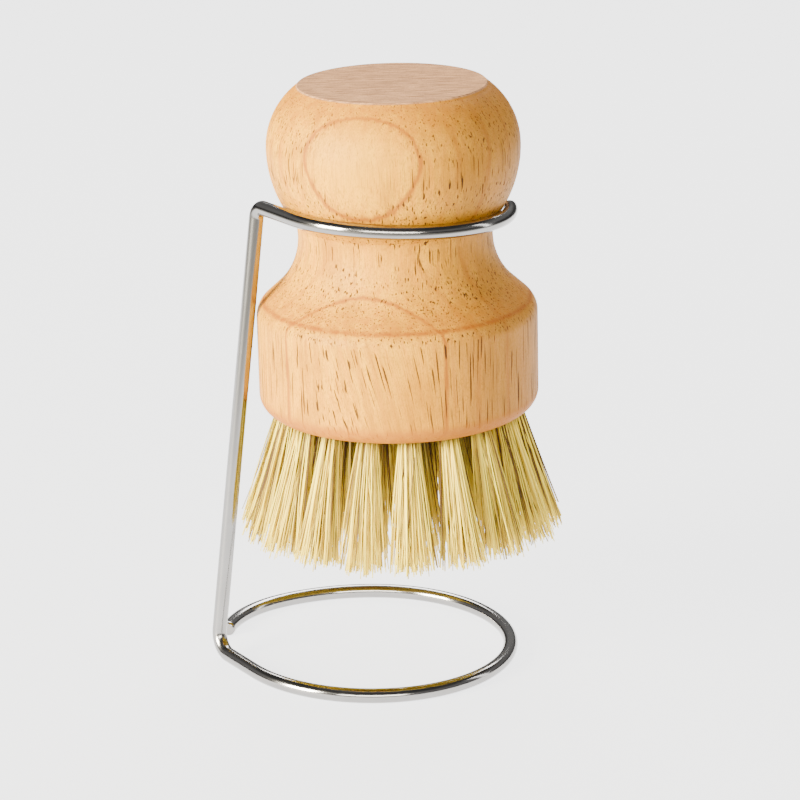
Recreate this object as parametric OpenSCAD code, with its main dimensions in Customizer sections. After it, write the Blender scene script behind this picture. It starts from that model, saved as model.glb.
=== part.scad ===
// Palm brush hanging in a bent wire stand, in millimetres.
// The origin is on the table, at the centre of the stand's foot ring. Z is up and
// the open side of the cradle ring faces +Y. The brush has its own frame, with its
// origin in the middle of the bristle face, and leans a little in the stand.

/* [Handle] */
// Height of the wooden block, from its bristle face to the top of the knob
block_h = 78; // [76:1:80]
// Diameter of the round base that carries the bristles
base_d = 66.4; // [64:0.2:67]
// Height of the shoulder, where the flare would meet the upright side
shoulder_h = 25.2; // [23:0.2:26]
// Rounding of the shoulder
shoulder_round = 5; // [2:0.5:6]
// Rounding of the base's lower edge
lower_round = 4.2; // [2:0.2:5]
// Slope of the flare above the shoulder, away from upright
flare_slope = 47.5; // [44:0.5:50]
// Diameter of the neck at its narrowest
neck_d = 45.7; // [44:0.1:47]
// Radius of the cove that sweeps from the neck into the flare
cove_r = 16.8; // [15:0.2:18]
// Largest diameter of the knob
knob_d = 59.3; // [58:0.1:60]
// Height of the knob's widest line above the bristle face
knob_mid_h = 63.3; // [62:0.1:65]
// Radius of the knob's outline above its widest line
crown_r = 17.5; // [16:0.5:19]
// Radius of the knob's outline below its widest line
belly_r = 28; // [27:0.5:29.5]
// Width of the broken edge round the flat top
top_edge = 0.7; // [0.3:0.1:1.2]

/* [Bristles] */
// Diameter of a drilled tuft hole
hole_d = 4.8; // [4.4:0.1:5.2]
// Depth of a drilled tuft hole
hole_depth = 11; // [9:0.5:13]
// Distance from the bristle face to the trimmed tips
trim_h = 29.3; // [26:0.1:30]
// How far a tip may miss the trimmed plane
trim_error = 0.8; // [0:0.1:1]
// Radius at which a strand's three corners lie, at its root
strand_r = 0.36; // [0.3:0.01:0.4]
// How many times wider a tuft is at its tips than at its roots
tuft_spread = 2.55; // [2:0.05:2.7]
// Strands in a tuft's core
core_strands = 3; // [3:1:4]
// Strands round a tuft's core
rim_strands = 9; // [7:1:9]
// Width of an anchor strip, across the hole and into the wood on both sides
anchor_w = 6.2; // [5.8:0.1:6.6]
// Height of an anchor strip
anchor_h = 2.8; // [2:0.1:3.5]
// Thickness of an anchor strip
anchor_t = 0.5; // [0.4:0.05:0.6]

/* [Stand] */
// Diameter of the stand's wire
wire_d = 3.5; // [3.2:0.1:3.6]
// Radius of the foot ring, at the wire's centre
foot_r = 33.65; // [33:0.05:34.5]
// Radius of the foot ring's first opened-out stretch
foot_open_r = 43; // [40:1:46]
// Turn of that stretch
foot_open_turn = 33; // [28:1:36]
// Radius of the foot ring's last stretch
foot_end_r = 28; // [26:1:30]
// Turn of the last stretch
foot_end_turn = 46; // [35:1:48]
// Radius of the cradle ring, at the wire's centre
cradle_r = 27.7; // [27.6:0.1:28.4]
// Height of the cradle ring's middle, at the wire's centre
cradle_h = 111.5; // [111:0.1:111.6]
// Angle at which the cradle ring ends, from +X
cradle_end = 4; // [0:1:12]
// Bend radius where the upright meets the cradle, at the wire's centre
top_bend_r = 3; // [2.5:0.1:4]
// Bend radius where the upright meets the foot, at the wire's centre
foot_bend_r = 5; // [3:0.1:6]
// Width of the broken edge at the wire's two cut ends
cut_edge = 0.35; // [0.1:0.05:0.5]

/* [Hanging brush] */
// Height of the bristle face above the table
face_h = 62.8; // [62.7:0.1:65]
// Lean of the brush towards the upright
lean = 1.28; // [1:0.02:1.4]

/* [Hidden] */
// Where the brush's axis meets its bristle face
brush_x = 6.5;
// Where the upright would meet the foot and the cradle in plan, if the bends were sharp
foot_corner = [-37.6, -4.4];
top_corner = [-26.5, -4.1];
// Middles of the two rings
foot_mid = [0, 0];
cradle_mid = [4.7, -0.7];
// How far the cradle ring climbs for each millimetre towards +X and +Y
cradle_climb = [-0.025, -0.038];
// Angle at which the foot ring starts to open out
foot_open_at = 91;
// Rings of tufts: name, count, radius of the hole circle, first angle and tilt
TUFT_RINGS = [
    ["outer", 18, 26.8, -85.2, 13.8],
    ["middle", 12, 17.4, -78, 9.5],
    ["inner", 6, 8.6, -64, 5.2],
    ["centre", 1, 0, 0, 0],
];
// Room between a tuft and the wall of its hole, and round an anchor strip
hole_gap = 0.06;
// Fibre folded over an anchor strip, at the bottom of the hole
fold_t = 1.2;
// How far a tuft's packed root stays inside its hole, and how deep strands start in it
root_inset = 0.8;
strand_sink = 0.5;
// Radii of the strand circles in the packed root
core_ring_r = 0.62;
rim_ring_r = 1.72;
// Share of a tuft's spread that comes towards the tips
late_spread = 0.2;
// Sideways scatter of the tips, and a tip's size against the root's
tip_scatter = 0.22;
tip_taper = 0.75;
// Sides of round parts, angle between an outline's points, length of a cutter's overrun
ROUND = 64;
OUTLINE_STEP = 3;
OVER = 5;
// Sides of the wire, turn between its stations in a ring, and steps in a bend
WIRE_SIDES = 18;
WIRE_STEP = 5;
BEND_STEPS = 7;

// Every tuft as [name, radius, angle, tilt, number in its ring]
TUFTS = [
    for (ring = TUFT_RINGS)
        for (i = [0 : ring[1] - 1])
            [tuft_name(ring, i), ring[2], ring[3] + 360 * i / ring[1], ring[4], i]
];

function tuft_name(ring, i) =
    ring[1] == 1 ? str("tuft_", ring[0])
    : str("tuft_", ring[0], i < 9 ? "_0" : "_", i + 1);

// Points on an arc from one angle to another
function arc(mid, r, from, to) =
    let (steps = max(1, ceil(abs(to - from) / OUTLINE_STEP)))
    [for (i = [0 : steps]) let (a = from + (to - from) * i / steps)
        [mid[0] + r * cos(a), mid[1] + r * sin(a)]];

// Angle of a point seen from a circle's middle
function bearing(mid, p) = atan2(p[1] - mid[1], p[0] - mid[0]);

// Angle on a circle of the clockwise tangent drawn to it from a point
function tangent_angle(p, mid, r) =
    bearing(mid, p) + acos(r / norm([p[0] - mid[0], p[1] - mid[1]]));

// The crossing of two circles that lies nearer to the axis
function circle_meet(m0, r0, m1, r1) =
    let (
        d = m1 - m0,
        span = norm(d),
        along = (r0 * r0 - r1 * r1 + span * span) / (2 * span),
        aside = sqrt(r0 * r0 - along * along),
        foot = m0 + d * along / span,
        left = foot + aside * [-d[1], d[0]] / span,
        right = foot - aside * [-d[1], d[0]] / span
    )
    left[1] < right[1] ? left : right;

// The turned outline, as [radius, height] above the bristle face
function block_outline() =
    let (
        base_r = base_d / 2,
        neck_r = neck_d / 2,
        crown_mid = [knob_d / 2 - crown_r, knob_mid_h],
        belly_mid = [knob_d / 2 - belly_r, knob_mid_h],
        // The cove ends where its slope is the flare's, and the flare ends at the shoulder
        cove_drop = cove_r * sin(flare_slope),
        cove_out = cove_r * (1 - cos(flare_slope)),
        flare_drop = (base_r - neck_r - cove_out) / tan(flare_slope),
        cove_mid = [neck_r + cove_r, shoulder_h + flare_drop + cove_drop],
        groove = circle_meet(belly_mid, belly_r, cove_mid, cove_r),
        crown_top = asin((block_h - top_edge - knob_mid_h) / crown_r),
        flat_r = crown_mid[0] + crown_r * cos(crown_top) - top_edge,
        shoulder_mid = [base_r - shoulder_round,
            shoulder_h - shoulder_round * tan(flare_slope / 2)],
        lower_mid = [base_r - lower_round, lower_round]
    )
    concat(
        [[0, 0]],
        arc(lower_mid, lower_round, -90, 0),
        arc(shoulder_mid, shoulder_round, 0, flare_slope),
        arc(cove_mid, cove_r, 180 + flare_slope, bearing(cove_mid, groove)),
        arc(belly_mid, belly_r, bearing(belly_mid, groove), 0),
        arc(crown_mid, crown_r, OUTLINE_STEP, crown_top),
        [[flat_r, block_h], [0, block_h]]
    );

// Puts a shape from the brush's own frame where the brush hangs in the stand
module hang_brush() {
    translate([brush_x, 0, face_h])
        rotate([0, -lean, 0])
            children();
}

// Puts a shape at a tuft's hole, with +Z pointing out of the hole along the tuft
module at_tuft(t) {
    rotate([0, 0, t[2]])
        translate([t[1], 0, 0])
            rotate([0, 180 - t[3], 0])
                children();
}

// One strip in its place across a hole, with extra room round its sides if asked
module anchor_strip(room = 0) {
    translate([-anchor_t / 2 - room, -anchor_w / 2 - room, fold_t - hole_depth])
        cube([anchor_t + 2 * room, anchor_w + 2 * room, anchor_h + room]);
}

// The turned block, with its drilled holes and the cuts that the strips bite
module handle_block() {
    color("burlywood")
        hang_brush()
            difference() {
                rotate_extrude($fn = 2 * ROUND)
                    polygon(block_outline());
                for (t = TUFTS)
                    at_tuft(t) {
                        translate([0, 0, -hole_depth])
                            cylinder(h = hole_depth + OVER, d = hole_d, $fn = ROUND);
                        anchor_strip(hole_gap);
                    }
            }
}

// All the flat strips that hold the tufts, one across the bottom of each hole
module tuft_anchors() {
    color("silver")
        hang_brush()
            for (t = TUFTS)
                at_tuft(t)
                    anchor_strip();
}

// Where a strand starts across the packed root
function strand_root(i) =
    i < core_strands
        ? core_ring_r * [cos(360 * i / core_strands), sin(360 * i / core_strands)]
        : let (a = 360 * (i - core_strands + 0.5) / rim_strands)
            rim_ring_r * [cos(a), sin(a)];

// A strand's centre at a share of its length, given its root and its scatter
function strand_xy(root, scatter, share) =
    let (grown = (1 - late_spread) * share + late_spread * share * share)
    root * (1 + (tuft_spread - 1) * grown) + scatter * share;

// A three-sided tapering strand along three stations, closed with triangles
module strand(stations, radii, turn) {
    last = len(stations) - 1;
    corners = [
        for (k = [0 : last])
            for (j = [0 : 2])
                stations[k] + radii[k] * [cos(turn + 120 * j), sin(turn + 120 * j), 0]
    ];
    sides = [
        for (k = [0 : last - 1])
            for (j = [0 : 2])
                let (a = 3 * k + j, b = 3 * k + (j + 1) % 3)
                each [[a, a + 3, b + 3], [a, b + 3, b]]
    ];
    caps = [[0, 1, 2], [3 * last + 2, 3 * last + 1, 3 * last]];
    polyhedron(points = corners, faces = concat(sides, caps), convexity = 2);
}

// One tuft: fibres folded round their strip, packed in the hole and spread below it
module tuft(t) {
    count = core_strands + rim_strands;
    seed = 100 * t[1] + t[4];
    scatter = rands(-tip_scatter, tip_scatter, 2 * count, seed);
    error = rands(-trim_error, trim_error, count, seed + 1);
    turns = rands(0, 120, count, seed + 2);
    start = -root_inset - strand_sink;
    color("palegoldenrod")
        hang_brush()
            at_tuft(t) {
                difference() {
                    translate([0, 0, -hole_depth])
                        cylinder(h = hole_depth - root_inset, d = hole_d - 2 * hole_gap,
                            $fn = ROUND);
                    anchor_strip(hole_gap);
                }
                for (i = [0 : count - 1]) {
                    root = strand_root(i);
                    drift = [scatter[2 * i], scatter[2 * i + 1]];
                    tip = strand_xy(root, drift, 1);
                    // The tips are trimmed level with the bristle face
                    reach = (trim_h + error[i] - tip[0] * sin(t[3])) / cos(t[3]);
                    stations = [for (share = [0, 0.5, 1])
                        let (xy = strand_xy(root, drift, share))
                        [xy[0], xy[1], start + (reach - start) * share]];
                    strand(stations, strand_r * [1, (1 + tip_taper) / 2, tip_taper], turns[i]);
                }
            }
}

// The point at an angle on a circle
function on_circle(mid, r, a) = mid + r * [cos(a), sin(a)];

// A point in plan put at a height, and on the cradle ring's sloping plane
function level(p, z) = [p[0], p[1], z];
function on_cradle(p) = level(p, cradle_h + cradle_climb * (p - cradle_mid));

// Unit vector along another, and from one point to another
function unit(v) = v / norm(v);
function aim(from, to) = unit(to - from);

// An arc of wire in plan as [point, direction] stations, without its first station
function plan_arc(mid, r, from, to) =
    let (steps = ceil(abs(to - from) / WIRE_STEP), way = sign(to - from))
    [for (i = [1 : steps])
        let (a = from + (to - from) * i / steps)
        [on_circle(mid, r, a), way * [-sin(a), cos(a)]]];

// Stations in plan laid level at the foot's height, and on the cradle ring's plane
function laid_level(stations) =
    [for (s = stations) [level(s[0], wire_d / 2), level(s[1], 0)]];
function laid_on_cradle(stations) =
    [for (s = stations) [on_cradle(s[0]), unit(level(s[1], cradle_climb * s[1]))]];

// A bend of wire round a corner between two points, as stations with both its ends
function corner_bend(p, corner, q, r) =
    let (
        u = aim(corner, p),
        v = aim(corner, q),
        half = acos(u * v) / 2,
        mid = corner + unit(u + v) * r / sin(half),
        out = unit(corner + u * r / tan(half) - mid),
        turn = 180 - 2 * half
    )
    [for (i = [0 : BEND_STEPS])
        let (a = turn * i / BEND_STEPS)
        [mid + r * (cos(a) * out - sin(a) * u), -sin(a) * out - cos(a) * u]];

// The wire's centre line, from the foot ring's free end to the cradle's free end
function wire_stations() =
    let (
        foot_from = tangent_angle(foot_corner, foot_mid, foot_r),
        foot_start = level(on_circle(foot_mid, foot_r, foot_from), wire_d / 2),
        // The two stretches that open the free end run on from the round part
        open_mid = on_circle(foot_mid, foot_r - foot_open_r, foot_open_at),
        end_at = foot_open_at + foot_open_turn,
        end_mid = on_circle(open_mid, foot_open_r - foot_end_r, end_at),
        stop_at = end_at + foot_end_turn,
        cradle_from = tangent_angle(top_corner, cradle_mid, cradle_r),
        cradle_start = on_cradle(on_circle(cradle_mid, cradle_r, cradle_from)),
        bottom = level(foot_corner, wire_d / 2),
        top = on_cradle(top_corner)
    )
    concat(
        laid_level(concat(
            [[on_circle(end_mid, foot_end_r, stop_at), [sin(stop_at), -cos(stop_at)]]],
            plan_arc(end_mid, foot_end_r, stop_at, end_at),
            plan_arc(open_mid, foot_open_r, end_at, foot_open_at),
            plan_arc(foot_mid, foot_r, foot_open_at, foot_from)
        )),
        corner_bend(foot_start, bottom, top, foot_bend_r),
        corner_bend(bottom, top, cradle_start, top_bend_r),
        [[cradle_start, aim(top, cradle_start)]],
        laid_on_cradle(plan_arc(cradle_mid, cradle_r, cradle_from, cradle_end))
    );

// A direction turned as little as possible to lie square to the wire
function square_to(n, along) = unit(n - (n * along) * along);

// One such direction for each station, carried along the wire so that it never twists
function carried_normals(s) =
    [for (i = 0, n = [0, 0, 1]; i < len(s);
        i = i + 1, n = i < len(s) ? square_to(n, s[i][1]) : n) n];

// A round wire through stations, its two cut ends broken at the edge
module bent_wire(s) {
    normals = carried_normals(s);
    last = len(s) - 1;
    // Rings of corners: the cut face, the full section at every station, the cut face
    rings = concat(
        [[s[0][0] - cut_edge * s[0][1], 0, wire_d / 2 - cut_edge]],
        [for (i = [0 : last]) [s[i][0], i, wire_d / 2]],
        [[s[last][0] + cut_edge * s[last][1], last, wire_d / 2 - cut_edge]]
    );
    corners = [
        for (ring = rings)
            let (n = normals[ring[1]], b = cross(s[ring[1]][1], n))
            for (j = [0 : WIRE_SIDES - 1])
                let (a = 360 * j / WIRE_SIDES)
                ring[0] + ring[2] * (cos(a) * n + sin(a) * b)
    ];
    top = (len(rings) - 1) * WIRE_SIDES;
    sides = [
        for (k = [0 : len(rings) - 2])
            for (j = [0 : WIRE_SIDES - 1])
                let (a = k * WIRE_SIDES + j, b = k * WIRE_SIDES + (j + 1) % WIRE_SIDES)
                each [[a, a + WIRE_SIDES, b + WIRE_SIDES], [a, b + WIRE_SIDES, b]]
    ];
    caps = [
        for (j = [1 : WIRE_SIDES - 2])
            each [[0, j, j + 1], [top, top + j + 1, top + j]]
    ];
    polyhedron(points = corners, faces = concat(sides, caps), convexity = 8);
}

// The stand: one wire bent into a foot ring, an upright and an open cradle ring
module wire_stand() {
    color("lightsteelblue")
        bent_wire(wire_stations());
}

handle_block();
tuft_anchors();
wire_stand();
for (t = TUFTS)
    tuft(t);
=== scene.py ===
import math
import random

import bpy
from mathutils import Matrix, Vector


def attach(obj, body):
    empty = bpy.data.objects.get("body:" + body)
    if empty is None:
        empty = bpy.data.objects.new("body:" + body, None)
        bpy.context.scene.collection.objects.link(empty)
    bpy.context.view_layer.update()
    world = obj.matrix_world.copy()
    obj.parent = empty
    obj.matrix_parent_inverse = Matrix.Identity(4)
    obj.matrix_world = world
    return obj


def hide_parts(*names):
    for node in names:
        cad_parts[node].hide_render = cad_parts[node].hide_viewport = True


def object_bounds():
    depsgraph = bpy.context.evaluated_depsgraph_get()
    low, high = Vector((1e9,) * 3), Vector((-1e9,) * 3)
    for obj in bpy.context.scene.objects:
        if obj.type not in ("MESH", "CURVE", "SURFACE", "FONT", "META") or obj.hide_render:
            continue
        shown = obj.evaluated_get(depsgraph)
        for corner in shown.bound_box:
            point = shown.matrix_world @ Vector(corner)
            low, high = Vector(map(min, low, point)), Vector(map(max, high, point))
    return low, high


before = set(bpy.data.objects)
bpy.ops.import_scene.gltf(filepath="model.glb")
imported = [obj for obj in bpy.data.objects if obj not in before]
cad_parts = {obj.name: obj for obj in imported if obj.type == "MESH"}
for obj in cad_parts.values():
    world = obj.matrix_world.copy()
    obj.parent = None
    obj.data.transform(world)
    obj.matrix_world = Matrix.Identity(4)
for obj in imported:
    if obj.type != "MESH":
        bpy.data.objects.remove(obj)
CAD_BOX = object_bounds()

MM = 0.001

# The photograph's camera, in millimetres round the middle of the foot ring
CAMERA_X = 6.65
CAMERA_BACK = 720.0
CAMERA_HEIGHT = 297.6
CAMERA_PITCH = 0.3141
CAMERA_LENS = 142.9
SENSOR_WIDTH = 36.0
# What lies between these distances is seen, in metres
CAMERA_CLIP = (0.05, 20.0)

# The hanging brush, as the CAD has it
FACE_H = 62.8
BRUSH_X = 6.5
LEAN = math.radians(1.28)
BLOCK_H = 78.0
SHOULDER_H = 26.7
HOLE_DEPTH = 11.0
HOLE_R = 2.4
TRIM_H = 29.3
# Rings of tufts: name, count, radius of the hole circle, first angle, tilt, fibres, and the
# share of its length, from the root, over which a fibre is painted dark: painted shade between
# tufts
TUFT_RINGS = (
    ("outer", 18, 26.8, -85.2, 13.8, 160, 0.17),
    ("middle", 12, 17.4, -78.0, 9.5, 75, 0.85),
    ("inner", 6, 8.6, -64.0, 5.2, 50, 0.85),
    ("centre", 1, 0.0, 0.0, 0.0, 50, 0.85),
)

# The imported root: how far inside its hole it ends, and its sides and room in the hole
PLUG_TOP = -1.2
PLUG_SIDES = 24
PLUG_ROOM = 0.06
# Fibres start in the root, and are spread over it like seeds in a sunflower
FIBRE_START = -1.4
ROOT_R = 2.2
SEED_TURN = math.radians(137.508)
SEED_ERROR = 0.3
FIBRE_R = 0.165
FIBRE_THICKNESS = (0.7, 1.25)
FIBRE_SIDES = 4
FIBRE_STATIONS = 7
TIP_TAPER = 0.8
# Tips spread more sideways than outwards, and part of the spread comes late
TUFT_SPREAD = (2.25, 2.65)
LATE_SPREAD = 0.28
TIP_SCATTER = 0.55
SWAY = 0.28
# Tips miss the trimmed plane both ways, and a few fibres are shorter still
TRIM_ERROR = 0.77
SHORT_MOST = 2.0
# Some fibres cross their neighbours: how many, how far round in radians, how far out and
# how bent
STRAY_SHARE = 0.22
STRAY_TURN = (1.2, 2.6)
STRAY_REACH = 0.75
STRAY_SWAY = 0.7
# A fibre's tone, from dark, 0, to pale, 1: the middle one and the scatter
TONE = (0.6, 0.45)
# The root in its hole is painted dark: painted shade in the hole
PLUG_SHADE_TONE = 0.1
# A tip that leaves the CAD's box is drawn in by this much at a time
BOX_STEP = 0.1

# The stand's wire, as the CAD has it
WIRE_R = 1.75
CUT_EDGE = 0.35
FOOT_R = 33.65
FOOT_OPEN_R = 43.0
FOOT_OPEN_AT = 91.0
FOOT_OPEN_TURN = 33.0
FOOT_END_R = 28.0
FOOT_END_TURN = 46.0
CRADLE_R = 27.7
CRADLE_H = 111.5
CRADLE_END = 4.0
CRADLE_MID = (4.7, -0.7)
CRADLE_CLIMB = (-0.025, -0.038)
TOP_BEND_R = 3.0
FOOT_BEND_R = 5.0
FOOT_CORNER = (-37.6, -4.4)
TOP_CORNER = (-26.5, -4.1)
WIRE_SIDES = 48
WIRE_STEP = 1.5
BEND_STEPS = 16

# The table, in metres, is pale, and glows behind the object as a lit studio table does
FLOOR_HALF = 4.0
FLOOR_COLOR = (0.22, 0.22, 0.22, 1.0)
FLOOR_GLOW = 3.1
GLOW_MID = (0.0, 0.42)
GLOW_REACH = (0.50, 0.56)
GLOW_FADE = (0.9, 1.3)
GLOW_COLOR = (0.985, 0.99, 1.0, 1.0)
SPECK_SCALE = 300.0
SPECK_SHADE = 1.04
# The sky's brightness at heights from straight down, 0, to straight up, 1
SKY = (
    (0.0, 0.3), (0.495, 0.3), (0.51, 0.05), (0.57, 0.05), (0.61, 0.3),
    (0.74, 0.3), (0.82, 0.08), (0.95, 0.08), (1.0, 0.35),
)
# Soft lamps, in metres and watts: name, place, width and height, power and colour
LAMP_AIM = (0.0, 0.0, 0.08)
LAMPS = (
    ("key_left", (-1.15, -0.75, 0.45), (0.6, 0.6), 118.0, (1.0, 0.95, 0.80)),
    ("front", (0.0, -1.35, 0.50), (1.3, 0.30), 21.0, (1.0, 0.96, 0.86)),
    ("edge_right", (1.1, 0.1, 0.4), (0.12, 0.8), 2.0, (1.0, 1.0, 1.0)),
    ("back", (0.1, 0.85, 0.95), (0.9, 0.5), 20.0, (1.0, 1.0, 1.0)),
)

# Wood: growth rings are nearly flat sheets that face the front, a little to the left
RING_FACING = (-0.268, -0.963, 0.0)
# Where ring lines lie along that direction, in millimetres, how wide and how strong
RING_LINES = (
    (27.2, 0.5, 1.0), (21.5, 0.9, 0.35), (14.0, 1.1, 0.5), (6.5, 0.8, 0.3),
    (-3.0, 1.2, 0.5), (-12.5, 0.9, 0.4), (-19.0, 0.8, 0.6), (-27.0, 0.6, 0.9),
)
# Between which heights those sheets bend, and how far outwards each bend takes them
RING_WAVES = ((22.0, 33.0, -1.9), (33.0, 52.0, 2.0), (55.0, 78.0, -2.4))
RING_WANDER = 0.7
RING_FRAY = 0.8
# How fast the wood's tone changes from sheet to sheet
SEASON_SCALE = 0.16
# Below this height the grain in the middle of the front leans to the right, by this much
# for each millimetre, less and less between two distances from that middle
GRAIN_LEAN_BELOW = 27.0
GRAIN_LEAN = 0.24
GRAIN_LEAN_MID = -5.0
GRAIN_LEAN_FADE = (6.0, 22.0)
# The knob's front is nearly free of pores, beyond this depth and above this height
CALM_DEPTH = (26.8, 30.5)
CALM_HEIGHT = (45.0, 50.0)
# The base grows warmer and darker downwards: its own warmer colour, and painted shade
WARM_AND_SHADE_HEIGHT = (24.0, 4.0)
# The right side is painted browner than the left: painted shade, away from the key lamp
SHADE_RIGHT = (8.0, 32.0)
SHADE_RIGHT_FRAY = 14.0
# Where the wood is darker: the crease under the shoulder, the flare above it, the lower
# edge and the top's rim
CREASE_WIDTH = 0.75
FLARE_DARK = (33.0, 27.0)
FLARE_FROM = (25.6, 26.6)
LOWER_DARK = (5.4, 2.4)
RIM_DARK = (69.0, 77.4)
# Between these heights the turned side gives way to the flat top's end grain
TOP_FACE = (BLOCK_H - 0.45, BLOCK_H - 0.15)
# The wood's noises: lumps to a millimetre across the grain and along it, detail, roughness
WANDER = (0.05, 0.022, 2.0, 0.5)
FRAY = (0.9, 0.12, 3.0, 0.5)
BLOTCH = (0.07, 0.03, 1.0, 0.5)
DEEP_PORES = (2.5, 0.075, 1.0, 0.3)
FAINT_PORES = (3.4, 0.18, 1.0, 0.4)
STREAK = (0.8, 0.035, 3.0, 0.6)
BAND = (0.5, 0.014, 3.0, 0.6)
THREAD = (5.0, 0.16, 2.0, 0.6)
FLECK = (2.8, 1.5, 3.0, 0.7)
CLOUD = (0.11, 0.08, 3.0, 0.55)
EDGE_PATCHES = (0.5, 0.5, 4.0, 0.7)
# The top's noises: lumps to a millimetre along X, Y and Z
END_PORES = (2.4, 3.2, 0.2)
END_RAYS = (0.25, 1.8, 0.2)
# Shares of red, green and blue light that each kind of wood gives back
WOOD_PALE = (0.88, 0.410, 0.006, 1.0)
WOOD_WARM = (0.74, 0.290, 0.003, 1.0)
# Painted shade for the right side
WOOD_SHADE_RIGHT = (0.38, 0.165, 0.050, 1.0)
WOOD_TAN = (0.36, 0.142, 0.002, 1.0)
WOOD_RING = (0.32, 0.085, 0.004, 1.0)
WOOD_EDGE = (0.48, 0.165, 0.004, 1.0)
WOOD_PORE = (0.055, 0.020, 0.006, 1.0)
END_PALE = (0.64, 0.33, 0.150, 1.0)
END_DARK = (0.34, 0.165, 0.072, 1.0)
END_PORE = (0.16, 0.070, 0.028, 1.0)
# How deep the wood's grain, a fibre's ridges and the steel's lines are cut, in metres
WOOD_RELIEF = 0.00012
FIBRE_RELIEF = 0.00004
STEEL_RELIEF = 0.00001

FIBRE_PALE = (1.0, 0.79, 0.080, 1.0)
FIBRE_STRAW = (0.76, 0.54, 0.045, 1.0)
FIBRE_DARK = (0.11, 0.055, 0.010, 1.0)
# Painted shade at the fibres' roots, where the tufts shade each other under the wood
FIBRE_ROOT_SHADE = (0.060, 0.021, 0.010, 1.0)
FIBRE_PATCH = (0.35, 0.35, 0.2)
FIBRE_RIDGE = (9.0, 9.0, 1.2)

# Steel: tint and roughness
WIRE_STEEL = ((0.32, 0.308, 0.296, 1.0), 0.11)
ANCHOR_STEEL = ((0.55, 0.55, 0.54, 1.0), 0.35)
# Its faint smudges, and the fine lines drawn along it
SMUDGE = (0.12, 0.12, 0.12)
SMUDGE_SHADE = 0.92
SMUDGE_ROUGHNESS = 0.07
DRAWN_LENGTH = 0.05
DRAWN_SCALE = 9.0
DRAWN_ROUGHNESS = 0.05


def make_camera():
    data = bpy.data.cameras.new("camera")
    data.sensor_width = SENSOR_WIDTH
    data.lens = CAMERA_LENS
    data.clip_start, data.clip_end = CAMERA_CLIP
    camera = bpy.data.objects.new("camera", data)
    camera.location = (CAMERA_X * MM, -CAMERA_BACK * MM, CAMERA_HEIGHT * MM)
    camera.rotation_euler = (math.pi / 2 - CAMERA_PITCH, 0.0, 0.0)
    bpy.context.collection.objects.link(camera)
    bpy.context.scene.camera = camera


def shade(color, share):
    """A colour with a share of its brightness."""
    return tuple(share * c for c in color[:3]) + (1.0,)


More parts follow.
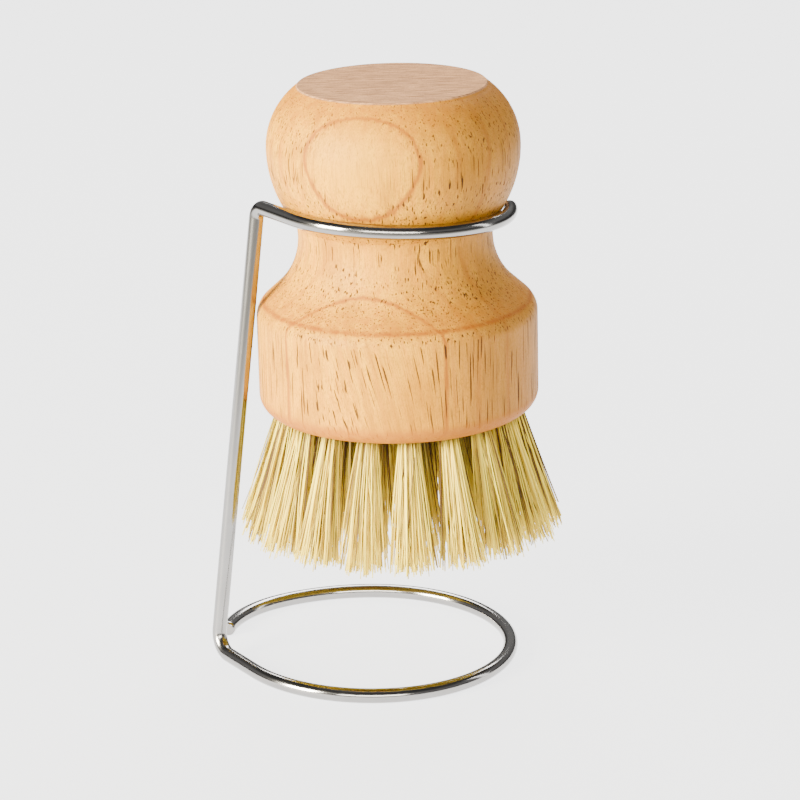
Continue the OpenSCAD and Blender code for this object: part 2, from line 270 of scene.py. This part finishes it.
class Nodes:
    """A material's node tree, with one short call for each kind of node used here."""

    def __init__(self, name):
        self.material = bpy.data.materials.new(name)
        self.material.use_nodes = True
        self.tree = self.material.node_tree
        self.shader = self.tree.nodes["Principled BSDF"]

    def put(self, kind, **settings):
        node = self.tree.nodes.new(kind)
        for key, value in settings.items():
            setattr(node, key, value)
        return node

    def feed(self, socket, value):
        if isinstance(value, bpy.types.NodeSocket):
            self.tree.links.new(value, socket)
        else:
            socket.default_value = value

    def places(self, origin=(0.0, 0.0, 0.0), turn=(0.0, 0.0, 0.0), unit=MM):
        """Places on the object at rest, in millimetres of a frame of its own."""
        coords = self.put("ShaderNodeTexCoord")
        mapping = self.put("ShaderNodeMapping", vector_type="TEXTURE")
        mapping.inputs["Location"].default_value = origin
        mapping.inputs["Rotation"].default_value = turn
        mapping.inputs["Scale"].default_value = (unit, unit, unit)
        self.feed(mapping.inputs["Vector"], coords.outputs["Object"])
        return mapping.outputs["Vector"]

    def stretch(self, vector, scale):
        node = self.put("ShaderNodeVectorMath", operation="MULTIPLY")
        self.feed(node.inputs[0], vector)
        node.inputs[1].default_value = scale
        return node.outputs[0]

    def dot(self, vector, direction):
        node = self.put("ShaderNodeVectorMath", operation="DOT_PRODUCT")
        self.feed(node.inputs[0], vector)
        node.inputs[1].default_value = direction
        return node.outputs["Value"]

    def split(self, vector):
        node = self.put("ShaderNodeSeparateXYZ")
        self.feed(node.inputs[0], vector)
        return node.outputs

    def join(self, x, y, z):
        node = self.put("ShaderNodeCombineXYZ")
        for socket, value in zip(node.inputs, (x, y, z)):
            self.feed(socket, value)
        return node.outputs[0]

    def math(self, operation, a, b=0.0):
        node = self.put("ShaderNodeMath", operation=operation)
        self.feed(node.inputs[0], a)
        self.feed(node.inputs[1], b)
        return node.outputs[0]

    def add(self, a, b):
        return self.math("ADD", a, b)

    def less(self, a, b):
        return self.math("SUBTRACT", a, b)

    def times(self, a, b):
        return self.math("MULTIPLY", a, b)

    def larger(self, a, b):
        return self.math("MAXIMUM", a, b)

    def away(self, value, middle):
        """How far a value is from a middle."""
        return self.math("ABSOLUTE", self.less(value, middle))

    def noise(self, vector, scale=1.0, detail=2.0, rough=0.5):
        node = self.put("ShaderNodeTexNoise")
        self.feed(node.inputs["Vector"], vector)
        node.inputs["Scale"].default_value = scale
        node.inputs["Detail"].default_value = detail
        node.inputs["Roughness"].default_value = rough
        return node.outputs["Fac"]

    def grained(self, vector, kind):
        """One of the wood's noises, drawn out along the grain."""
        across, along, detail, rough = kind
        return self.noise(self.stretch(vector, (across, across, along)), 1.0, detail, rough)

    def jitter(self, value, noise, amount):
        """A value moved up or down by noise, over an amount in all."""
        return self.add(value, self.times(self.less(noise, 0.5), amount))

    def span(self, value, low, high, to_low=0.0, to_high=1.0):
        """A value between two limits, brought smoothly to another span."""
        node = self.put("ShaderNodeMapRange", interpolation_type="SMOOTHSTEP")
        for socket, given in zip(node.inputs, (value, low, high, to_low, to_high)):
            self.feed(socket, given)
        return node.outputs["Result"]

    def near(self, value, middle, width):
        """1 where a value is at its middle, falling to 0 at a width away."""
        return self.span(self.away(value, middle), 0.0, width, 1.0, 0.0)

    def mix(self, share, a, b):
        """Between two colours, by a share."""
        node = self.put("ShaderNodeMix", data_type="RGBA")
        self.feed(node.inputs["Factor"], share)
        self.feed(node.inputs["A"], a)
        self.feed(node.inputs["B"], b)
        return node.outputs["Result"]

    def layers(self, color, *layers):
        """A colour under layers of others, each with its share."""
        for share, other in layers:
            color = self.mix(share, color, other)
        return color

    def blend(self, share, a, b):
        """Between two numbers, by a share."""
        node = self.put("ShaderNodeMix", data_type="FLOAT")
        self.feed(node.inputs["Factor"], share)
        self.feed(node.inputs["A"], a)
        self.feed(node.inputs["B"], b)
        return node.outputs["Result"]

    def attribute(self, name):
        return self.put("ShaderNodeAttribute", attribute_name=name).outputs["Fac"]

    def bump(self, height, depth, strength):
        node = self.put("ShaderNodeBump")
        node.inputs["Strength"].default_value = strength
        node.inputs["Distance"].default_value = depth
        self.feed(node.inputs["Height"], height)
        return node.outputs["Normal"]

    def finish(self, **sockets):
        for name, value in sockets.items():
            self.feed(self.shader.inputs[name.replace("_", " ")], value)
        return self.material


def leaning_grain(n, x, y, z):
    """Places followed along the grain, which leans in the middle of the base's front."""
    below = n.math("MINIMUM", n.less(z, GRAIN_LEAN_BELOW), 0.0)
    lean = n.span(n.away(x, GRAIN_LEAN_MID), *GRAIN_LEAN_FADE, GRAIN_LEAN, 0.0)
    return n.join(n.add(x, n.times(below, lean)), y, z)


def ring_depth(n, place, z, fray):
    """How far forwards a place lies among the growth rings' wavy sheets."""
    depth = n.jitter(n.dot(place, RING_FACING), n.grained(place, WANDER), RING_WANDER)
    for low, high, outwards in RING_WAVES:
        depth = n.less(depth, n.span(z, low, high, 0.0, outwards))
    return n.jitter(depth, fray, RING_FRAY)


def ring_lines(n, depth):
    """How dark the ring lines are at a depth."""
    lines = 0.0
    for middle, width, strength in RING_LINES:
        lines = n.larger(lines, n.times(n.near(depth, middle, width), strength))
    return lines


def darker_edges(n, color, place, z):
    """The wood's colour, darker at the crease, the flare, the lower edge and the top's rim."""
    edge_patches = n.grained(place, EDGE_PATCHES)
    crease = n.times(n.near(z, SHOULDER_H, CREASE_WIDTH), n.span(edge_patches, 0.3, 0.6, 0.5, 1.0))
    flare = n.times(n.span(z, *FLARE_DARK), n.span(z, *FLARE_FROM))
    flare = n.times(flare, n.span(edge_patches, 0.35, 0.65, 0.15, 0.85))
    lower = n.times(n.span(z, *LOWER_DARK), n.span(edge_patches, 0.3, 0.6, 0.6, 1.0))
    rim = n.times(n.span(z, *RIM_DARK), n.span(edge_patches, 0.35, 0.6, 0.25, 0.8))
    edges = n.larger(n.larger(flare, lower), rim)
    crease_and_lower = n.larger(crease, n.times(lower, 0.6))
    return n.layers(color, (n.times(edges, 0.85), WOOD_EDGE), (n.times(crease_and_lower, 0.8), WOOD_RING))


def wood_material():
    n = Nodes("turned_wood")
    place = n.places((BRUSH_X * MM, 0.0, FACE_H * MM), (0.0, -LEAN, 0.0))
    x, y, z = n.split(place)
    grain = leaning_grain(n, x, y, z)
    fray = n.grained(grain, FRAY)
    depth = ring_depth(n, place, z, fray)
    # From sheet to sheet the wood is now paler, now warmer
    season = n.noise(n.join(depth, 0.0, 0.0), SEASON_SCALE, 1.0)

    # Pores are long thin dark dashes, a few deep and many faint
    calm = n.times(n.span(depth, *CALM_DEPTH), n.span(z, *CALM_HEIGHT))
    deep = n.add(n.grained(grain, DEEP_PORES), n.times(n.grained(grain, BLOTCH), 0.16))
    deep = n.times(n.span(deep, 0.725, 0.765), n.span(calm, 0.0, 0.35, 1.0, 0.2))
    faint = n.span(n.grained(grain, FAINT_PORES), 0.58, 0.72)
    streak = n.grained(grain, STREAK)
    fleck = n.grained(place, FLECK)
    # Painted shade: the wood is painted browner towards the right side
    right = n.add(x, n.times(fray, SHADE_RIGHT_FRAY))
    color = n.layers(
        n.mix(n.span(streak, 0.3, 0.75), WOOD_PALE, WOOD_WARM),
        # Warmer colour and painted shade towards the base's bottom
        (n.span(z, *WARM_AND_SHADE_HEIGHT, 0.0, 0.55), WOOD_WARM),
        (n.span(season, 0.45, 0.8, 0.0, 0.4), WOOD_WARM),
        (n.span(right, *SHADE_RIGHT, 0.0, 0.6), WOOD_SHADE_RIGHT),
        (n.span(n.grained(grain, THREAD), 0.42, 0.66, 0.0, 0.3), WOOD_TAN),
        (n.span(n.grained(grain, BAND), 0.48, 0.7, 0.0, 0.4), WOOD_TAN),
        (n.span(n.grained(place, CLOUD), 0.42, 0.68, 0.0, 0.4), WOOD_TAN),
        (n.span(fleck, 0.47, 0.66, 0.0, 0.5), WOOD_TAN),
        (n.times(calm, 0.4), WOOD_PALE),
        (n.times(ring_lines(n, depth), 0.8), WOOD_RING),
        (n.times(faint, 0.5), WOOD_TAN),
        (n.times(deep, 0.95), WOOD_PORE),
    )
    color = darker_edges(n, color, place, z)

    # The flat top is bare end grain: dull, greyish and full of open pores
    flat = n.span(z, *TOP_FACE)
    pores = n.noise(n.stretch(place, END_PORES))
    rays = n.noise(n.stretch(place, END_RAYS), detail=3.0)
    end = n.mix(n.span(rays, 0.3, 0.7), END_PALE, END_DARK)
    end = n.mix(n.span(pores, 0.55, 0.72, 0.0, 0.6), end, END_PORE)
    color = n.mix(flat, color, end)

    height = n.less(n.times(streak, 0.25), deep)
    height = n.less(height, n.times(faint, 0.3))
    height = n.less(height, n.times(n.times(flat, pores), 1.2))
    gloss = n.span(fleck, 0.2, 0.8, 0.46, 0.6)
    return n.finish(
        Base_Color=color,
        Roughness=n.blend(flat, n.add(gloss, n.times(deep, 0.3)), 0.82),
        Normal=n.bump(height, WOOD_RELIEF, 0.55),
        Specular_IOR_Level=0.15,
    )


def fibre_material():
    n = Nodes("plant_fibre")
    place = n.places()
    patch = n.noise(n.stretch(place, FIBRE_PATCH))
    ridge = n.noise(n.stretch(place, FIBRE_RIDGE))
    tone = n.jitter(n.attribute("tone"), patch, 0.35)
    color = n.layers(
        n.mix(n.span(tone, 0.0, 0.42), FIBRE_DARK, FIBRE_STRAW),
        (n.span(tone, 0.4, 0.95), FIBRE_PALE),
        (n.span(n.attribute("run"), 0.6, 1.0, 0.0, 0.25), FIBRE_STRAW),
        # Painted shade: fibres darken towards their roots
        (n.span(n.attribute("stain"), 0.0, 1.0, 0.0, 0.88), FIBRE_ROOT_SHADE),
    )
    return n.finish(
        Base_Color=color,
        Roughness=n.span(patch, 0.2, 0.8, 0.45, 0.62),
        Normal=n.bump(ridge, FIBRE_RELIEF, 0.5),
        Specular_IOR_Level=0.25,
    )


def steel_material(name, tint, rough):
    """Steel with fine lines drawn along the wire, and a few faint smudges."""
    n = Nodes(name)
    way = n.join(n.times(n.attribute("along"), DRAWN_LENGTH), n.attribute("around"), 0.0)
    drawn = n.noise(way, DRAWN_SCALE, 3.0)
    smudge = n.noise(n.stretch(n.places(), SMUDGE), detail=3.0)
    gloss = n.span(smudge, 0.3, 0.8, rough, rough + SMUDGE_ROUGHNESS)
    return n.finish(
        Base_Color=n.mix(n.span(smudge, 0.35, 0.75), tint, shade(tint, SMUDGE_SHADE)),
        Metallic=1.0,
        Roughness=n.add(gloss, n.times(drawn, DRAWN_ROUGHNESS)),
        Normal=n.bump(drawn, STEEL_RELIEF, 0.25),
    )


def floor_material():
    n = Nodes("floor")
    place = n.places(unit=1.0)
    speck = n.noise(place, SPECK_SCALE)
    # The table glows behind the object, and less and less towards the front and sides
    x, y, _ = n.split(place)
    across = n.math("DIVIDE", n.less(x, GLOW_MID[0]), GLOW_REACH[0])
    back = n.math("DIVIDE", n.less(y, GLOW_MID[1]), GLOW_REACH[1])
    squares = n.add(n.math("POWER", across, 2.0), n.math("POWER", back, 2.0))
    return n.finish(
        Base_Color=n.mix(speck, FLOOR_COLOR, shade(FLOOR_COLOR, SPECK_SHADE)),
        Roughness=0.7,
        Specular_IOR_Level=0.1,
        Emission_Color=GLOW_COLOR,
        Emission_Strength=n.span(n.math("SQRT", squares), *GLOW_FADE, FLOOR_GLOW, 0.0),
    )


def add_mesh(name, corners, faces, material, **numbers):
    """A smooth mesh in metres from corners in millimetres, with named numbers on them."""
    mesh = bpy.data.meshes.new(name)
    mesh.from_pydata([tuple(c * MM for c in corner) for corner in corners], [], faces)
    for key, values in numbers.items():
        mesh.attributes.new(key, "FLOAT", "POINT").data.foreach_set("value", values)
    mesh.polygons.foreach_set("use_smooth", [True] * len(mesh.polygons))
    mesh.materials.append(material)
    mesh.update()
    piece = bpy.data.objects.new(name, mesh)
    bpy.context.collection.objects.link(piece)
    return piece


def tube_faces(rings, sides, first):
    """Quads between rings of corners, and a face at each end."""
    faces = []
    for k in range(rings - 1):
        for j in range(sides):
            a = first + k * sides + j
            b = first + k * sides + (j + 1) % sides
            faces.append((a, b, b + sides, a + sides))
    faces.append(tuple(first + j for j in reversed(range(sides))))
    faces.append(tuple(first + (rings - 1) * sides + j for j in range(sides)))
    return faces


def tuft_frame(radius, angle, tilt):
    """From a tuft's own frame, with +Z out of its hole, to the row frame, in millimetres."""
    hang = Matrix.Translation((BRUSH_X, 0.0, FACE_H)) @ Matrix.Rotation(-LEAN, 4, "Y")
    spin = Matrix.Rotation(math.radians(angle), 4, "Z")
    lean = Matrix.Rotation(math.pi - math.radians(tilt), 4, "Y")
    return hang @ spin @ Matrix.Translation((radius, 0.0, 0.0)) @ lean


class Tuft:
    """The corners and faces of one tuft, with the numbers that its material reads."""

    def __init__(self, place, stain, draw):
        self.place = place
        self.stain = stain
        self.draw = draw
        self.corners = []
        self.faces = []
        self.tones = []
        self.runs = []
        self.stains = []

    def add_tube(self, points, radii, sides, tone, runs):
        """A tube of one tone. Its runs go from 0 at the root to 1 at the tip."""
        first = len(self.corners)
        turn = self.draw.uniform(0.0, math.tau)
        for point, radius, run in zip(points, radii, runs):
            for j in range(sides):
                a = turn + math.tau * j / sides
                corner = point + Vector((radius * math.cos(a), radius * math.sin(a), 0.0))
                self.corners.append(tuple(self.place @ corner))
                self.tones.append(tone)
                self.runs.append(run)
                # Painted shade, full at the root and gone beyond its share of the length
                self.stains.append(max(0.0, 1.0 - run / self.stain))
        self.faces.extend(tube_faces(len(points), sides, first))


def in_cad_box(point):
    """Whether a fibre's tip stays inside the CAD's box, seen from above."""
    low, high = CAD_BOX
    return all(low[i] / MM + FIBRE_R < point[i] < high[i] / MM - FIBRE_R for i in range(2))


def draw_tip(draw, root):
    """Where a fibre's tip comes, across its tuft, and how far its middle sways."""
    drift = [draw.gauss(0.0, TIP_SCATTER) for _ in range(2)]
    tip = [r * spread + d for r, spread, d in zip(root, TUFT_SPREAD, drift)]
    far = math.hypot(tip[0], tip[1])
    most = ROOT_R * TUFT_SPREAD[1]
    if far > most:
        tip = [c * most / far for c in tip]
    sway = (draw.gauss(0.0, SWAY), draw.gauss(0.0, SWAY))
    if draw.random() < STRAY_SHARE:
        a = draw.uniform(*STRAY_TURN) * draw.choice((-1.0, 1.0))
        tip = [STRAY_REACH * (tip[0] * math.cos(a) - tip[1] * math.sin(a)),
            STRAY_REACH * (tip[0] * math.sin(a) + tip[1] * math.cos(a))]
        sway = (draw.gauss(0.0, STRAY_SWAY), draw.gauss(0.0, STRAY_SWAY))
    return tip, sway


def trim_tip(tip, trim, slope, place):
    """A tip at the trimmed plane, moved to the brush's axis until it is in the CAD's box."""
    x, y = tip
    while True:
        end = Vector((x, y, (trim - x * math.sin(slope)) / math.cos(slope)))
        if in_cad_box(place @ end):
            return end
        # A tuft's own +X points to the brush's axis
        x += BOX_STEP


def fibre_points(root, end, sway, runs):
    """A fibre's centre line, bending slowly outwards, from its root to its tip."""
    points = []
    for t in runs:
        grown = (1.0 - LATE_SPREAD) * t + LATE_SPREAD * t * t
        wave = math.sin(math.pi * t)
        points.append(Vector((
            root[0] + (end[0] - root[0]) * grown + sway[0] * wave,
            root[1] + (end[1] - root[1]) * grown + sway[1] * wave,
            FIBRE_START + (end[2] - FIBRE_START) * t,
        )))
    return points


def add_tuft(name, radius, angle, tilt, count, stain, material, seed):
    """One tuft: a packed root in its hole, with every fibre that grows out of it."""
    draw = random.Random(seed)
    place = tuft_frame(radius, angle, tilt)
    slope = math.radians(tilt)
    tuft = Tuft(place, stain, draw)
    plug = (Vector((0.0, 0.0, -HOLE_DEPTH)), Vector((0.0, 0.0, PLUG_TOP)))
    tuft.add_tube(plug, [HOLE_R - PLUG_ROOM] * 2, PLUG_SIDES, PLUG_SHADE_TONE, (0.0, 0.0))
    runs = [k / (FIBRE_STATIONS - 1) for k in range(FIBRE_STATIONS)]
    for i in range(count):
        out = ROOT_R * math.sqrt((i + 0.5) / count)
        a = i * SEED_TURN + draw.uniform(-SEED_ERROR, SEED_ERROR)
        root = (out * math.cos(a), out * math.sin(a))
        tip, sway = draw_tip(draw, root)
        short = SHORT_MOST * draw.uniform(0.0, 1.0) ** 3
        trim = TRIM_H + draw.uniform(-TRIM_ERROR, TRIM_ERROR) - short
        end = trim_tip(tip, trim, slope, place)
        thick = FIBRE_R * draw.uniform(*FIBRE_THICKNESS)
        radii = [thick * (1.0 - (1.0 - TIP_TAPER) * t ** 2) for t in runs]
        tone = min(1.0, max(0.0, draw.gauss(*TONE)))
        tuft.add_tube(fibre_points(root, end, sway, runs), radii, FIBRE_SIDES, tone, runs)

    piece = add_mesh("fibres_" + name, tuft.corners, tuft.faces, material,
        tone=tuft.tones, run=tuft.runs, stain=tuft.stains)
    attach(piece, "brush")
    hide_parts("tuft_" + name)


def add_tufts(material):
    seed = 0
    for name, count, radius, first, tilt, fibres, stain in TUFT_RINGS:
        for i in range(count):
            label = name if count == 1 else f"{name}_{i + 1:02d}"
            seed += 1
            add_tuft(label, radius, first + 360.0 * i / count, tilt, fibres, stain,
                material, seed)


def on_circle(middle, radius, degrees):
    a = math.radians(degrees)
    return Vector((middle[0] + radius * math.cos(a), middle[1] + radius * math.sin(a)))


def level(place, height):
    return Vector((place[0], place[1], height))


def cradle_climb(way):
    return CRADLE_CLIMB[0] * way[0] + CRADLE_CLIMB[1] * way[1]


def on_cradle(place):
    """A place in plan on the cradle ring's sloping plane."""
    return level(place, CRADLE_H + cradle_climb(Vector(place) - Vector(CRADLE_MID)))


def tangent_angle(point, middle, radius):
    """Angle on a circle where the clockwise tangent from a point touches it."""
    dx, dy = point[0] - middle[0], point[1] - middle[1]
    return math.degrees(math.atan2(dy, dx) + math.acos(radius / math.hypot(dx, dy)))


def plan_arc(middle, radius, start, stop):
    """Stations in plan along an arc of wire, without its first one."""
    steps = math.ceil(abs(stop - start) / WIRE_STEP)
    way = math.copysign(1.0, stop - start)
    stations = []
    for i in range(1, steps + 1):
        a = start + (stop - start) * i / steps
        t = math.radians(a)
        heading = way * Vector((-math.sin(t), math.cos(t)))
        stations.append((on_circle(middle, radius, a), heading))
    return stations


def corner_bend(before, corner, after, radius):
    """Stations round a bend at a corner, with both its ends."""
    u = (before - corner).normalized()
    v = (after - corner).normalized()
    half = u.angle(v) / 2
    middle = corner + (u + v).normalized() * radius / math.sin(half)
    out = (corner + u * radius / math.tan(half) - middle).normalized()
    stations = []
    for i in range(BEND_STEPS + 1):
        a = (math.pi - 2 * half) * i / BEND_STEPS
        stations.append((middle + radius * (math.cos(a) * out - math.sin(a) * u),
            -math.sin(a) * out - math.cos(a) * u))
    return stations


def wire_stations():
    """The wire's centre line, from the foot ring's free end to the cradle's."""
    bottom = level(FOOT_CORNER, WIRE_R)
    top = on_cradle(TOP_CORNER)
    foot_from = tangent_angle(FOOT_CORNER, (0.0, 0.0), FOOT_R)
    foot_start = level(on_circle((0.0, 0.0), FOOT_R, foot_from), WIRE_R)
    open_mid = on_circle((0.0, 0.0), FOOT_R - FOOT_OPEN_R, FOOT_OPEN_AT)
    end_at = FOOT_OPEN_AT + FOOT_OPEN_TURN
    end_mid = on_circle(open_mid, FOOT_OPEN_R - FOOT_END_R, end_at)
    stop_at = end_at + FOOT_END_TURN
    cradle_from = tangent_angle(TOP_CORNER, CRADLE_MID, CRADLE_R)
    cradle_start = on_cradle(on_circle(CRADLE_MID, CRADLE_R, cradle_from))
    stop = math.radians(stop_at)
    free_end = (on_circle(end_mid, FOOT_END_R, stop_at), Vector((math.sin(stop), -math.cos(stop))))
    foot = (
        [free_end]
        + plan_arc(end_mid, FOOT_END_R, stop_at, end_at)
        + plan_arc(open_mid, FOOT_OPEN_R, end_at, FOOT_OPEN_AT)
        + plan_arc((0.0, 0.0), FOOT_R, FOOT_OPEN_AT, foot_from)
    )
    cradle = plan_arc(CRADLE_MID, CRADLE_R, cradle_from, CRADLE_END)
    return (
        [(level(place, WIRE_R), level(way, 0.0)) for place, way in foot]
        + corner_bend(foot_start, bottom, top, FOOT_BEND_R)
        + corner_bend(bottom, top, cradle_start, TOP_BEND_R)
        + [(cradle_start, (cradle_start - top).normalized())]
        + [(on_cradle(place), level(way, cradle_climb(way)).normalized()) for place, way in cradle]
    )


def add_wire(material):
    """The stand as one smooth round wire, with the broken edges of its two cut ends."""
    stations = wire_stations()
    rings = [(stations[0][0] - CUT_EDGE * stations[0][1], stations[0][1], WIRE_R - CUT_EDGE)]
    rings += [(point, heading, WIRE_R) for point, heading in stations]
    last, heading = stations[-1]
    rings.append((last + CUT_EDGE * heading, heading, WIRE_R - CUT_EDGE))
    corners, along, around = [], [], []
    normal = Vector((0.0, 0.0, 1.0))
    travelled = 0.0
    before = rings[0][0]
    for point, heading, radius in rings:
        normal = (normal - normal.dot(heading) * heading).normalized()
        side = heading.cross(normal)
        travelled += (point - before).length
        before = point
        for j in range(WIRE_SIDES):
            a = math.tau * j / WIRE_SIDES
            corners.append(tuple(point + radius * (math.cos(a) * normal + math.sin(a) * side)))
            along.append(travelled)
            around.append(WIRE_R * abs(math.pi - a))
    faces = tube_faces(len(rings), WIRE_SIDES, 0)
    piece = add_mesh("bent_wire", corners, faces, material, along=along, around=around)
    # The two cut faces and their broken edges stay crisp
    for polygon in piece.data.polygons[-2:]:
        polygon.use_smooth = False
    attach(piece, "stand")
    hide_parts("wire_stand")


def dress(node, material):
    """Gives a CAD node its finish."""
    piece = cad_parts[node]
    piece.data.materials.clear()
    piece.data.materials.append(material)


def add_floor():
    h = FLOOR_HALF
    mesh = bpy.data.meshes.new("floor")
    mesh.from_pydata([(-h, -h, 0), (h, -h, 0), (h, h, 0), (-h, h, 0)], [], [(0, 1, 2, 3)])
    mesh.materials.append(floor_material())
    floor = bpy.data.objects.new("floor", mesh)
    bpy.context.collection.objects.link(floor)


def add_lamp(name, place, size, power, color):
    data = bpy.data.lights.new(name, "AREA")
    data.shape = "RECTANGLE"
    data.size, data.size_y = size
    data.energy = power
    data.color = color
    lamp = bpy.data.objects.new(name, data)
    lamp.location = place
    aim = Vector(LAMP_AIM) - Vector(place)
    lamp.rotation_euler = aim.to_track_quat("-Z", "Y").to_euler()
    bpy.context.collection.objects.link(lamp)


def add_sky():
    """A soft sky with a dark band above the horizon, which gives the wire its dark lines."""
    world = bpy.data.worlds.new("studio")
    world.use_nodes = True
    bpy.context.scene.world = world
    tree = world.node_tree
    background = tree.nodes["Background"]
    coords = tree.nodes.new("ShaderNodeTexCoord")
    split = tree.nodes.new("ShaderNodeSeparateXYZ")
    # A direction's height runs from -1 to 1, and the ramp from 0 to 1
    half = tree.nodes.new("ShaderNodeMath")
    half.operation = "MULTIPLY_ADD"
    half.inputs[1].default_value = 0.5
    half.inputs[2].default_value = 0.5
    ramp = tree.nodes.new("ShaderNodeValToRGB")
    elements = ramp.color_ramp.elements
    while len(elements) < len(SKY):
        elements.new(0.5)
    for element, (position, bright) in zip(elements, SKY):
        element.position = position
        element.color = (bright, bright, bright, 1.0)
    tree.links.new(coords.outputs["Generated"], split.inputs[0])
    tree.links.new(split.outputs["Z"], half.inputs[0])
    tree.links.new(half.outputs[0], ramp.inputs["Fac"])
    tree.links.new(ramp.outputs["Color"], background.inputs["Color"])
    background.inputs["Strength"].default_value = 1.0


make_camera()
add_floor()
for lamp in LAMPS:
    add_lamp(*lamp)
add_sky()
dress("handle_block", wood_material())
dress("tuft_anchors", steel_material("anchor_steel", *ANCHOR_STEEL))
add_tufts(fibre_material())
add_wire(steel_material("polished_steel", *WIRE_STEEL))
